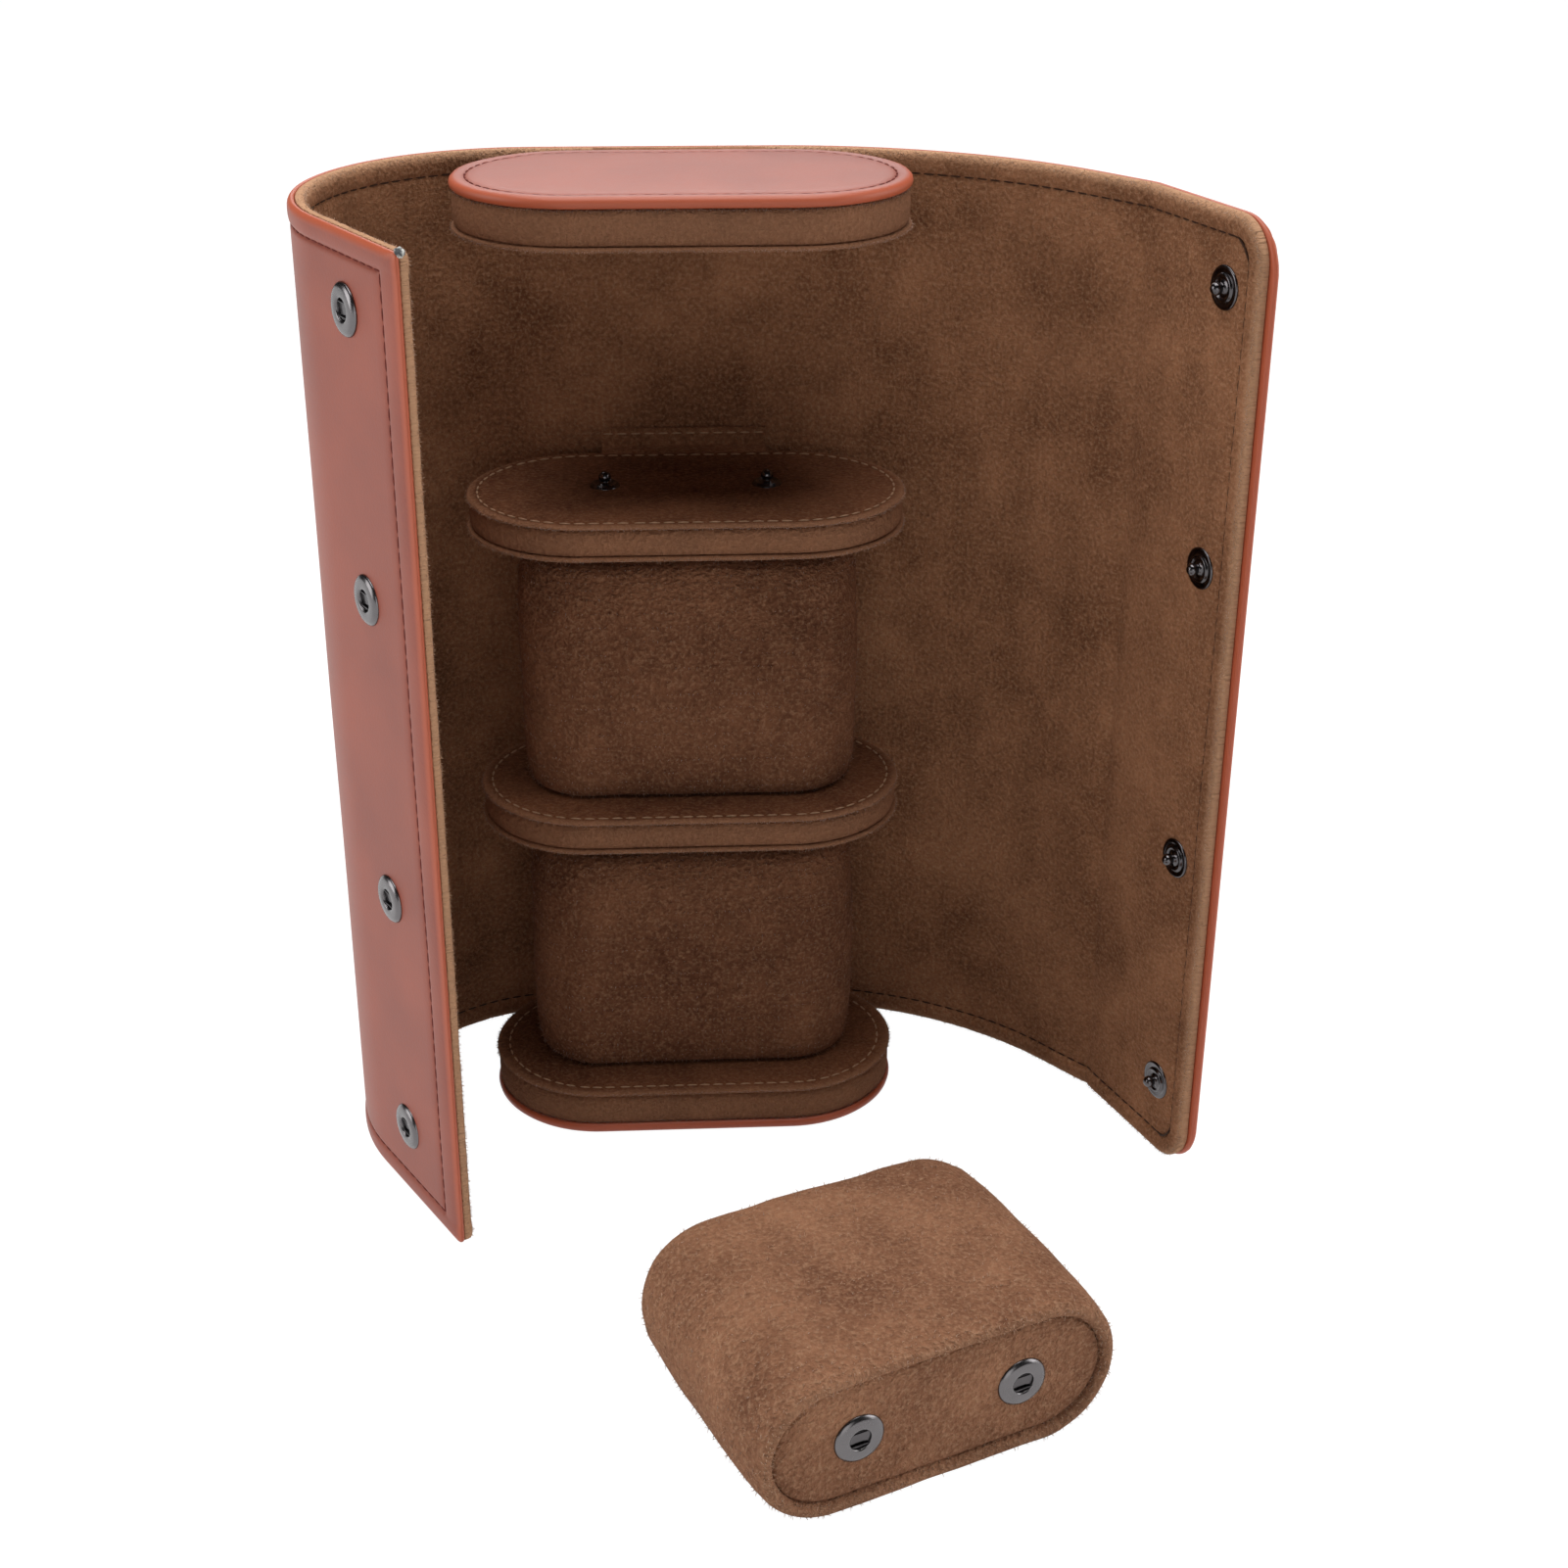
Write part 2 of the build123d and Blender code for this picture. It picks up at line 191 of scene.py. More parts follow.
def leather_offset(along, height, from_end, from_rim):
    """Outer and hidden face of the leather: a full rolled edge, a padded hem and a stitch groove."""
    side_seam = side_stitch_at if along > 0 else hem_stitch_at
    depth = min(from_end, from_rim)
    end_fill = 0.5 if along > 0 else 1.0
    padding = max(swell(from_rim, hem_stitch_at), end_fill * swell(from_end, side_seam))
    groove = max(
        dip(from_rim, hem_stitch_at, 0.42) * (from_end > side_seam - 0.4),
        dip(from_end, side_seam, 0.42) * (from_rim > hem_stitch_at - 0.4),
    )
    edge = 0.95
    roll = min(rolled(from_rim, 1.3), rolled(from_end, 5.8 if along > 0 else 1.3))
    wave = lumps(on_wrap(along, height, 0), 45, 0.16)
    outer = edge + (leather_face - edge) * roll + 0.32 * padding * roll - 0.38 * groove
    hidden = edge - 0.12
    return outer + wave * rolled(depth, 9), hidden - (hidden - leather_back) * rolled(depth, 0.8)


def lining_offset(along, height, from_end, from_rim):
    """Inner and hidden face of the suede: a cut edge, deep padding, and a faint crease by the flap."""
    side_seam = side_stitch_at if along > 0 else hem_stitch_at
    depth = min(from_end, from_rim)
    padding = max(swell(from_rim, hem_stitch_at), swell(from_end, side_seam))
    groove = max(
        dip(from_rim, hem_stitch_at, 0.5) * (from_end > side_seam - 0.4),
        dip(from_end, side_seam, 0.5) * (from_rim > hem_stitch_at - 0.4),
    )
    crease = dip(along, -110.0, 1.6)
    point = on_wrap(along, height, 0)
    wave = lumps(point, 26, 0.22) + lumps(point, 9, 0.07)
    ragged = lumps(point, 2.6, 0.32) + lumps(point, 1.3, 0.14)
    edge, face = -0.95 + ragged, -leather_face
    roll = rolled(depth, 1.4)
    inner = edge + (face - edge) * roll - 0.5 * padding * roll + 0.45 * groove + 0.25 * crease
    return inner - wave * rolled(depth, 6), 0.05 + (leather_back - 0.1) * rolled(depth, 0.5)


def lines_between(start, end, step, free_end):
    """Grid lines along the wrap, closer together beside a free edge."""
    side = 1 if end > start else -1
    run = abs(end - start)
    near = [run - d for d in edge_lines] if free_end else [run, run - 0.3]
    last = min(near)
    even = np.linspace(0.3, last, max(int(last / step), 2) + 1)
    places = sorted({0.0, *even.tolist(), *near})
    return [start + side * p for p in places]


def finish_mesh(bm, name, material, sharp=50.0):
    """Turns a bmesh in millimetres into a smooth-shaded object at the origin, in metres."""
    bmesh.ops.recalc_face_normals(bm, faces=bm.faces[:])
    bmesh.ops.scale(bm, vec=(MM, MM, MM), verts=bm.verts[:])
    for face in bm.faces:
        face.smooth = True
    for edge in bm.edges:
        edge.smooth = edge.calc_face_angle(0.0) < math.radians(sharp)
    mesh = bpy.data.meshes.new(name)
    bm.to_mesh(mesh)
    bm.free()
    mesh.materials.append(material)
    piece = bpy.data.objects.new(name, mesh)
    bpy.context.scene.collection.objects.link(piece)
    return piece


def wrap_layer(name, start, end, free_end, hem, offset_of, material, step=1.6, rows_between=34):
    """One layer of the wrap between two signed distances, as a closed sheet."""
    columns = lines_between(start, end, step, free_end)
    rims = [hem.low + d for d in edge_lines] + [hem.high - d for d in edge_lines]
    rows = sorted({*rims, *np.linspace(hem.low + 10, hem.high - 10, rows_between).tolist()})
    bm = bmesh.new()
    chart = bm.loops.layers.uv.new("UVMap")
    rim = bm.verts.layers.float.new("rim")
    bmesh.ops.create_grid(bm, x_segments=len(columns) - 1, y_segments=len(rows) - 1, size=0.5)
    for vert in bm.verts:
        vert.co.x = columns[round((vert.co.x + 0.5) * (len(columns) - 1))]
        vert.co.y = rows[round((vert.co.y + 0.5) * (len(rows) - 1))]
    for face in bm.faces:
        for loop in face.loops:
            loop[chart].uv = (loop.vert.co.x * MM, loop.vert.co.y * MM)
    copied = bmesh.ops.extrude_face_region(bm, geom=bm.faces[:], use_keep_orig=True)
    for item in copied["geom"]:
        if isinstance(item, bmesh.types.BMVert):
            item.co.z = 1.0
    for vert in bm.verts:
        along, height, from_end, from_rim = hem.place(vert.co.x, vert.co.y)
        on_face = vert.co.z > 0.5
        offset = offset_of(along, height, from_end, from_rim)[0 if on_face else 1]
        vert[rim] = max(0.0, 1.0 - min(from_end, from_rim) / 2.0) if on_face else 1.0
        vert.co = on_wrap(along, height, offset)
    return finish_mesh(bm, name, material)


class Wire:
    """A shader socket that takes part in sums: each operator adds its Math node."""

    def __init__(self, paint, socket):
        self.paint, self.socket = paint, socket

    def maths(self, operation, *values):
        """Adds one Math node and returns its result."""
        return self.paint.node("ShaderNodeMath", {"operation": operation}, dict(enumerate(values)))

    def __add__(self, other):
        return self.maths("ADD", self, other)

    def __mul__(self, other):
        return self.maths("MULTIPLY", self, other)

    def between(self, low, high):
        """This value spread from 0 at low to 1 at high."""
        return self.paint.node(
            "ShaderNodeMapRange", {"clamp": True}, {0: self, 1: low, 2: high, 3: 0.0, 4: 1.0}
        )

    __radd__ = __add__
    __rmul__ = __mul__


class Paint:
    """A material that is built from expressions and ends in one Principled shader."""

    def __init__(self, name, **plain):
        self.material = bpy.data.materials.new(name)
        self.material.use_nodes = True
        self.tree = self.material.node_tree
        self.shader = self.tree.nodes["Principled BSDF"]
        for socket, value in plain.items():
            self.shader.inputs[socket.replace("_", " ")].default_value = value

    def node(self, kind, settings=None, values=None, output=0):
        """Adds a node: its settings first, then the values or wires of its sockets."""
        made = self.tree.nodes.new(kind)
        for key, value in (settings or {}).items():
            if key == "stops":
                ramp = made.color_ramp
                while len(ramp.elements) < len(value):
                    ramp.elements.new(0.5)
                for element, (place, colour) in zip(ramp.elements, value):
                    element.position, element.color = place, (*colour, 1.0)
            else:
                setattr(made, key, value)
        for key, value in (values or {}).items():
            if isinstance(value, Wire):
                self.tree.links.new(value.socket, made.inputs[key])
            else:
                made.inputs[key].default_value = value
        return Wire(self, made.outputs[output])

    def place(self, source="Object"):
        """Where a point of the piece is: its Object coordinates or its own UV map, in metres."""
        return self.node("ShaderNodeTexCoord", output={"Object": 3, "UV": 2}[source])

    def speckle(self, place, size, detail=2.0, rough=0.5, stretch=None):
        """Noise with features of one size in metres, from 0 to 1."""
        if stretch:
            place = self.node("ShaderNodeMapping", None, {0: place, 3: stretch})
        return self.node(
            "ShaderNodeTexNoise",
            None,
            {"Vector": place, "Scale": 1.0 / size, "Detail": detail, "Roughness": rough},
        )

    def mix(self, share, first, second, blend="MIX"):
        """Mixes two colours, plain or wired."""
        settings = {"data_type": "RGBA", "blend_type": blend}
        values = {0: share}
        for key, colour in ((6, first), (7, second)):
            values[key] = colour if isinstance(colour, Wire) else (*colour, 1.0)
        return self.node("ShaderNodeMix", settings, values, output=2)

    def paint(self, socket, wire):
        """Feeds one socket of the Principled shader."""
        self.tree.links.new(wire.socket, self.shader.inputs[socket])

    def bump(self, height, strength, distance):
        """Raises the surface by a height pattern, in metres of distance."""
        normal = self.node(
            "ShaderNodeBump", None, {"Strength": strength, "Distance": distance, "Height": height}
        )
        self.paint("Normal", normal)


pores_per_metre = 1700.0


def leather_paint(name, dark, light, painted_edge_light, source):
    """Smooth corrected-grain leather with a waxy sheen. Painted light at its edges: a brighter orange, the
    look where the sheen's pale haze does not fall.
    """
    paint = Paint(name, Specular_IOR_Level=0.36, Coat_Weight=0.08, Coat_Roughness=0.42)
    place = paint.place(source)
    clouds = paint.speckle(place, 0.035, 3.0, 0.55)
    fine = paint.speckle(place, 0.0011, 3.0, 0.6)
    share = clouds.between(0.34, 0.66) * 0.7 + fine.between(0.3, 0.7) * 0.3
    rim = paint.node("ShaderNodeAttribute", {"attribute_name": "rim"}, output=2)
    tone = paint.mix(share, dark, light)
    # Painted light: the rim band turns to the brighter orange edge colour, where the leather shows without
    # its sheen haze
    paint.paint("Base Color", paint.mix(rim.between(0.1, 0.7) * 0.85, tone, painted_edge_light))
    paint.paint("Roughness", fine * 0.12 + clouds * 0.1 + 0.38)
    cells = paint.node(
        "ShaderNodeTexVoronoi",
        {"feature": "SMOOTH_F1"},
        {"Vector": place, "Scale": pores_per_metre, "Smoothness": 0.7},
    )
    paint.bump(cells * 0.5 + fine * 0.5, 0.22, 0.00018)
    return paint.material


leather_dark = (0.215, 0.038, 0.017)
leather_light = (0.310, 0.068, 0.036)
# Painted light: a brighter orange for the leather's edges, where the sheen's pale haze does not fall
leather_painted_edge_light = (0.42, 0.088, 0.036)
tan_leather = leather_paint("tan_leather", leather_dark, leather_light, leather_painted_edge_light, "UV")
leather_hem = Hem(0.1, 1.3, 11.0, (0.0, 0.0))

# Each strip runs from the middle of one panel to the middle of the next, across one fold
Strip = collections.namedtuple("Strip", "name start end free_end near_body far_body fold covers")
wrap_strips = (
    Strip("left_1", 0.0, 45.0, False, "back", "left_wing_1", 29.0, ("spine", "left_wing_1")),
    Strip("left_2", 45.0, 77.0, False, "left_wing_1", "left_wing_2", 61.0, ("left_wing_2",)),
    Strip("left_3", 77.0, left_length, True, "left_wing_2", "left_front", 93.0, ("left_front",)),
    Strip("right_1", 0.0, -43.5, False, "back", "right_wing_1", -29.0, ("right_wing_1",)),
    Strip("right_2", -43.5, -72.5, False, "right_wing_1", "right_wing_2", -58.0, ("right_wing_2",)),
    Strip("right_3", -72.5, -98.5, False, "right_wing_2", "right_wing_3", -87.0, ("right_wing_3",)),
    Strip("right_4", -98.5, -right_length, True, "right_wing_3", "snap_flap", -110.0, ("snap_flap",)),
)
fold_reach = 9.5


def bend_with(piece, strip):
    """Bakes a strip's piece in place; the two ends of its fold are worked out but not used."""
    toward = 1 if strip.end > strip.start else -1
    on_wrap(strip.fold - toward * fold_reach, 0, 0) * MM
    on_wrap(strip.fold + toward * fold_reach, 0, 0) * MM
    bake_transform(piece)


for strip in wrap_strips:
    outside = wrap_layer(
        "wrap_leather_" + strip.name, strip.start, strip.end, strip.free_end,
        leather_hem, leather_offset, tan_leather,
    )
    bend_with(outside, strip)
    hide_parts(*[panel + layer for panel in strip.covers for layer in ("_leather", "_board")])

# Wrap, lining
# Brown brushed suede, glued over the board and stitched through the same hem. Its nap is mottled
# where it has been stroked, and the bare rolled edge is paler and a little fuzzy.
lining_hem = Hem(0.15, 1.2, 9.4, (0.35, 1.7))


def suede_paint(name, dark, light, edge, source, nap=1.0):
    """Brushed suede: mottled nap, short fibres, no gloss."""
    paint = Paint(name, Roughness=0.95, Specular_IOR_Level=0.12, Sheen_Weight=0.22, Sheen_Roughness=0.5)
    paint.shader.inputs["Sheen Tint"].default_value = (*light, 1.0)
    place = paint.place(source)
    patches = paint.speckle(place, 0.028, 3.0, 0.6)
    strokes = paint.speckle(place, 0.0075, 3.0, 0.65, stretch=(1.0, 0.5, 0.7))
    fibres = paint.speckle(place, 0.0012, 2.0, 0.6)
    hairs = paint.speckle(place, 0.0008, 2.0, 0.6)
    share = patches.between(0.33, 0.67) * 0.50 + strokes.between(0.28, 0.72) * 0.22
    share = share + fibres.between(0.34, 0.66) * 0.28
    tone = paint.mix(share.between(0.1, 0.9), dark, light)
    worn = paint.mix(hairs.between(0.48, 0.7) * (0.36 * nap), tone, edge)
    rim = paint.node("ShaderNodeAttribute", {"attribute_name": "rim"}, output=2)
    paint.paint("Base Color", paint.mix(rim * 0.75, worn, edge))
    paint.bump(fibres * 0.55 + hairs * 0.45, 0.85 * nap, 0.0019)
    return paint.material


lining_suede = suede_paint(
    "lining_suede", (0.112, 0.043, 0.019), (0.345, 0.155, 0.077), (0.50, 0.29, 0.17), "UV"
)
lining_step = 1.2
for strip in wrap_strips:
    end = lining_hem.end_of(strip)
    inside = wrap_layer(
        "wrap_lining_" + strip.name, strip.start, end, strip.free_end,
        lining_hem, lining_offset, lining_suede, lining_step, 130 if strip.free_end else 50,
    )
    bend_with(inside, strip)
    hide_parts(*[panel + "_lining" for panel in strip.covers])

# Raw suede edges
# The lining is cut, not turned, so short pale fibres stand out all along its edges. They are tiny
# loose hairs of the suede itself.
hair_chance = random.Random(20)
edge_hair_length, edge_hair_radius = 0.6, 0.075
rim_hair_pitch, end_hair_pitch = 0.26, 0.16


def hair_paint(name, dark, light):
    """Loose fibres, paler and duller than the nap they come from."""
    paint = Paint(name, Roughness=1.0, Specular_IOR_Level=0.05, Sheen_Weight=0.4)
    shade = paint.speckle(paint.place(), 0.004, 2.0).between(0.3, 0.7)
    paint.paint("Base Color", paint.mix(shade, dark, light))
    return paint.material


loose_hair = hair_paint("loose_hair", (0.24, 0.115, 0.058), (0.50, 0.30, 0.18))


def add_hair(bm, root, away, long, thick):
    """Adds one fibre: a slim three-sided cone leaning a random way."""
    lean = Vector([hair_chance.uniform(-1, 1) for _ in range(3)])
    heading = (away.normalized() + 0.9 * lean).normalized()
    reach = long * hair_chance.uniform(0.5, 1.3)
    turn = heading.to_track_quat("Z", "Y").to_matrix().to_4x4()
    middle = root + heading * reach * 0.35
    bmesh.ops.create_cone(
        bm, cap_ends=True, segments=3, radius1=thick, radius2=0.02, depth=reach,
        matrix=Matrix.Translation(middle) @ turn,
    )


def hair_piece(name, roots, long, thick, material):
    """One piece of many fibres, from their roots and directions, made one batch at a time."""
    whole = bmesh.new()
    batch = 200
    for first in range(0, len(roots), batch):
        tuft = bmesh.new()
        for root, away in roots[first : first + batch]:
            add_hair(tuft, root, away, long, thick)
        strands = bpy.data.meshes.new("tuft")
        tuft.to_mesh(strands)
        tuft.free()
        whole.from_mesh(strands)
        bpy.data.meshes.remove(strands)
    return finish_mesh(whole, name, material, sharp=180)


def edge_hair(along, height, outwards):
    """Root and direction of a fibre on the lining's edge, somewhere in its thickness."""
    edge = (abs((lining_hem.left_end if along > 0 else lining_hem.right_end) - along), 0.0)
    depth = hair_chance.uniform(0.0, 1.0)
    if outwards.x:
        along, edge = along - outwards.x * depth, (depth, 9.0)
    else:
        height, edge = height - outwards.y * depth, (edge[0], depth)
    along, height, from_end, from_rim = lining_hem.place(along, height)
    offset = lining_offset(along, height, from_end, from_rim)[0]
    offset += hair_chance.uniform(0.0, 0.8) * max(0.0, 0.6 - depth)
    root = on_wrap(along, height, offset)
    ahead = on_wrap(along + outwards.x * 0.5, height + outwards.y * 0.5, offset) - root
    inwards = on_wrap(along, height, offset - 0.5) - root
    return root, ahead.normalized() + inwards.normalized() * depth


for strip in wrap_strips:
    end = lining_hem.end_of(strip)
    side = 1 if end > strip.start else -1
    roots = []
    for along in np.arange(min(strip.start, end), max(strip.start, end), rim_hair_pitch):
        for rim_side, height in ((1, lining_hem.high), (-1, lining_hem.low)):
            roots.append(edge_hair(float(along), height, Vector((0, rim_side))))
    if strip.free_end:
        for height in np.arange(lining_hem.low + 1, lining_hem.high - 1, end_hair_pitch):
            roots.append(edge_hair(end, float(height), Vector((side, 0))))
    hairs = hair_piece(
        "lining_edge_hairs_" + strip.name, roots, edge_hair_length, edge_hair_radius, loose_hair
    )
    bend_with(hairs, strip)

# Worn corner
# At the top of the left free edge the leather and the suede have parted, and a crumb of the grey
# board shows between them.
nick_at, nick_height = 161.4, 214.6
nick_half_width, nick_half_depth = 0.85, 0.95
nick = bmesh.new()
bmesh.ops.create_icosphere(nick, subdivisions=3, radius=1.0)
for vert in nick.verts:
    push = 1 + lumps(vert.co * 5, 2.0, 0.5)
    along = nick_at + nick_half_width * push * vert.co.x
    height = nick_height + nick_half_depth * push * vert.co.z
    vert.co = on_wrap(along, height, nick_half_depth * push * vert.co.y)
grey_board = Paint("grey_board", Roughness=0.95, Specular_IOR_Level=0.1)
crumbs = grey_board.speckle(grey_board.place(), 0.0016, 2.0).between(0.42, 0.55)
grey_board.paint("Base Color", grey_board.mix(crumbs, (0.09, 0.095, 0.10), (0.62, 0.62, 0.58)))
nick = finish_mesh(nick, "corner_board_nick", grey_board.material, sharp=180)
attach(nick, "left_front")

# Hem stitching
# One row of thread goes through the whole wrap: dark red on the leather and dark brown on the
# suede. Each stitch is a short pulled-in loop about 3 mm long.
stitch_pitch = 3.1


def thread_paint(name, colour):
    """Twisted sewing thread."""
    paint = Paint(name, Roughness=0.75, Specular_IOR_Level=0.2)
    place = paint.place()
    twist = paint.speckle(place, 0.0006, 2.0)
    paint.paint("Base Color", paint.mix(twist.between(0.3, 0.7), [c * 0.7 for c in colour], colour))
    paint.bump(twist, 0.4, 0.0001)
    return paint.material


def sew(bm, middle, along, out, long=1.25, thick=0.23):
    """Adds one stitch: a slim bead lying along the seam."""
    forward = along.normalized()
    outward = (out - out.project(forward)).normalized()
    across = outward.cross(forward)
    turn = Matrix((forward, across, outward)).transposed().to_4x4()
    shape = Matrix.Diagonal((long, thick, thick * 0.8, 1.0))
    bmesh.ops.create_uvsphere(
        bm, u_segments=8, v_segments=6, radius=1.0, matrix=Matrix.Translation(middle) @ turn @ shape
    )


def seam_route(hem, side_seam, flap_seam):
    """Closed route of the seam round the wrap, as signed distance and height."""
    left, right_end = hem.left_end - side_seam, hem.right_end + flap_seam
    low, high = hem.low + hem_stitch_at, hem.high - hem_stitch_at
    corner = hem.corner[-1] - flap_seam
    route = [Vector((left, low)), Vector((left, high)), Vector((right_end + corner, high))]
    corner_steps = 8
    for step in range(1, corner_steps + 1):
        turn = math.radians(90 * step / corner_steps)
        route.append(
            Vector((right_end + corner - corner * math.sin(turn), high - corner + corner * math.cos(turn)))
        )
    for step in range(corner_steps + 1):
        turn = math.radians(90 * step / corner_steps)
        route.append(
            Vector((right_end + corner - corner * math.cos(turn), low + corner - corner * math.sin(turn)))
        )
    return [*route, route[0]]


def walk(route, pitch):
    """Evenly spaced middles and directions along a route of points."""
    for near, far in zip(route, route[1:]):
        run = (far - near).length
        if run < 1e-6:
            continue
        count = max(round(run / pitch), 1)
        for index in range(count):
            yield near.lerp(far, (index + 0.5) / count), (far - near) / run


red_thread = thread_paint("red_thread", (0.16, 0.028, 0.02))
brown_thread = thread_paint("brown_thread", (0.05, 0.022, 0.012))
for layer, hem, offset_of, lift, material in (
    ("leather", leather_hem, leather_offset, 0.10, red_thread),
    ("lining", lining_hem, lining_offset, -0.10, brown_thread),
):
    stitches = list(walk(seam_route(hem, side_stitch_at - 0.35, hem_stitch_at), stitch_pitch))
    for strip in wrap_strips:
        low, high = sorted((strip.start, strip.end))
        bm = bmesh.new()
        for middle, heading in stitches:
            if not low <= middle.x < high:
                continue
            depth = (
                abs((hem.left_end if middle.x > 0 else hem.right_end) - middle.x),
                min(middle.y - hem.low, hem.high - middle.y),
            )
            offset = offset_of(middle.x, middle.y, *depth)[0] + lift
            spot = on_wrap(middle.x, middle.y, offset)
            ahead = middle + heading * 0.5
            direction = on_wrap(ahead.x, ahead.y, offset) - spot
            outwards = on_wrap(middle.x, middle.y, offset + 1) - spot
            sew(bm, spot, direction, outwards)
        stitching = finish_mesh(bm, "stitching_" + layer + "_" + strip.name, material, sharp=80)
        bend_with(stitching, strip)

# Press snap sockets
# Dark plated ring caps, domed with a bevelled rim, pressed through the leather by the free edge
# and through the end panel of each cushion. Two spring wires cross the hole.
snap_rows = (18.0, 75.0, 142.0, wall_height - 15.0)
sockets_from_edge = 23.0


def metal_paint(name, colour, rough):
    """Plated metal with faint turning marks and fingerprints."""
    paint = Paint(name, Metallic=1.0)
    place = paint.place()
    smudge = paint.speckle(place, 0.004, 3.0)
    marks = paint.speckle(place, 0.0003, 2.0)
    paint.paint("Base Color", paint.mix(smudge.between(0.3, 0.7) * 0.5, colour, [c * 0.75 for c in colour]))
    paint.paint("Roughness", smudge * 0.1 + marks * 0.06 + rough)
    return paint.material


gunmetal = metal_paint("gunmetal_plate", (0.16, 0.15, 0.153), 0.18)
black_plate = metal_paint("black_plate", (0.10, 0.093, 0.096), 0.12)


def turned(bm, outline, where, steps=56):
    """Spins a closed or capped outline of (radius, height) points about the snap's axis."""
    verts = [bm.verts.new((r, 0, z)) for r, z in outline]
    edges = [bm.edges.new(pair) for pair in zip(verts, verts[1:])]
    spun = bmesh.ops.spin(
        bm, geom=verts + edges, cent=(0, 0, 0), axis=(0, 0, 1), angle=2 * math.pi, steps=steps, use_merge=True
    )
    made = {item for item in spun["geom_last"] if isinstance(item, bmesh.types.BMVert)}
    island, front = set(made), list(made)
    while front:
        vert = front.pop()
        for edge in vert.link_edges:
            other = edge.other_vert(vert)
            if other not in island:
                island.add(other)
                front.append(other)
    bmesh.ops.remove_doubles(bm, verts=list(island), dist=1e-4)
    bmesh.ops.transform(bm, matrix=where, verts=[v for v in island if v.is_valid])


socket_outline = [(2.2, -1.0), (2.2, 0.62), (2.3, 0.8), (2.5, 0.9), (2.8, 0.95), (4.1, 0.9), (4.55, 0.78)]
socket_outline += [(4.7, 0.66), (4.95, 0.52), (5.15, 0.3), (5.25, 0.05), (5.2, -0.1), (2.2, -1.0)]
socket_cup = [(0.0, 0.16), (1.2, 0.16), (2.1, 0.2), (2.35, 0.3), (2.35, -0.9), (0.0, -0.9)]


def socket_parts(name, places):
    """The ring caps, and the dark cups with their spring wires, at each place."""
    rings, cups = bmesh.new(), bmesh.new()
    for where in places:
        turned(rings, socket_outline, where)
        turned(cups, socket_cup, where, 32)
        for side in (-1, 1):
            bar = Matrix.Translation((0, side * 1.4, 0.45)) @ Matrix.Rotation(math.pi / 2, 4, "Y")
            bmesh.ops.create_cone(
                cups, cap_ends=True, segments=12, radius1=0.2, radius2=0.2, depth=3.4, matrix=where @ bar
            )
    return (
        finish_mesh(rings, name + "_rings", gunmetal, sharp=60),
        finish_mesh(cups, name + "_springs", black_plate, sharp=60),
    )


def snap_place(along, height, inwards):
    """Matrix of a snap on the wrap, its axis pointing out of the face it sits on."""
    turn, side = station(along)[2:]
    outwards = Vector((side * math.sin(turn), math.cos(turn), 0))
    seat = on_wrap(along, height, -leather_face if inwards else leather_face)
    axis = -outwards if inwards else outwards
    upwards = Vector((0, 0, 1))
    return Matrix.Translation(seat) @ Matrix((upwards.cross(axis), upwards, axis)).transposed().to_4x4()


edge_places = [snap_place(left_length - sockets_from_edge, z, False) for z in snap_rows]
rings, springs = socket_parts("edge_snap", edge_places)
for piece, node in ((rings, "edge_sockets"), (springs, "edge_socket_springs")):
    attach(piece, "left_front")
    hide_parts(node)

# Press snap studs
# Black plated studs riveted through the lining of the flap and through the face of each disc:
# a flange with a raised cup, and a round head on a narrow neck.
stud_flange = [(0.0, -0.6), (4.0, -0.6), (4.4, -0.1), (4.45, 0.15), (4.3, 0.36), (4.0, 0.44), (3.5, 0.4)]
sunk_flange = [(0.0, -0.6), (3.1, -0.6), (3.3, -0.1)]
stud_outline = [(3.2, 0.24), (3.0, 0.3), (2.85, 0.62), (2.6, 0.78), (2.3, 0.7), (2.0, 0.4), (1.7, 0.42)]
stud_outline += [(1.25, 0.75), (1.0, 0.95), (0.95, 1.1), (1.1, 1.22), (1.28, 1.5), (1.36, 1.9), (1.28, 2.35)]
stud_outline += [(1.05, 2.75), (0.7, 3.05), (0.35, 3.2), (0.0, 3.25)]


def stud_parts(name, places, body, node, flange):
    """Studs at each place, riding on one body. On the discs the nap hides the flange's rim."""
    bm = bmesh.new()
    for where in places:
        turned(bm, flange + stud_outline, where)
    studs = finish_mesh(bm, name, black_plate, sharp=70)
    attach(studs, body)
    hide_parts(node)


studs_from_edge = 13.0
flap_places = [snap_place(-(right_length - studs_from_edge), z, True) for z in snap_rows]
stud_parts("flap_snap_studs", flap_places, "snap_flap", "flap_studs", stud_flange)

# Discs
# Two end caps and two dividers: stiff stadium-shaped cores with a face above and below and a band
# round the side. The faces are stitched near the rim, and the seams pinch in beside the band.
disc_width, disc_depth = 94.0, 50.0
snap_spacing, snap_line = 35.0, 1.5


def round_stadium(share, set_in, width, depth):
    """Point at a share of the way round a stadium, set in from its side, and the way out there."""
    radius, straight = depth / 2, (width - depth) / 2
    whole = 2 * (math.pi * radius + 2 * straight)
    reach = max(radius - set_in, 0.0)
    run = (share % 1.0) * whole
    side, run = (1, run) if run < whole / 2 else (-1, run - whole / 2)
    turn = max(run - 2 * straight, 0.0) / radius
    middle = straight - min(run, 2 * straight)
    outwards = Vector((-side * math.sin(turn), side * math.cos(turn), 0))
    return Vector((side * middle, 0, 0)) + reach * outwards, outwards


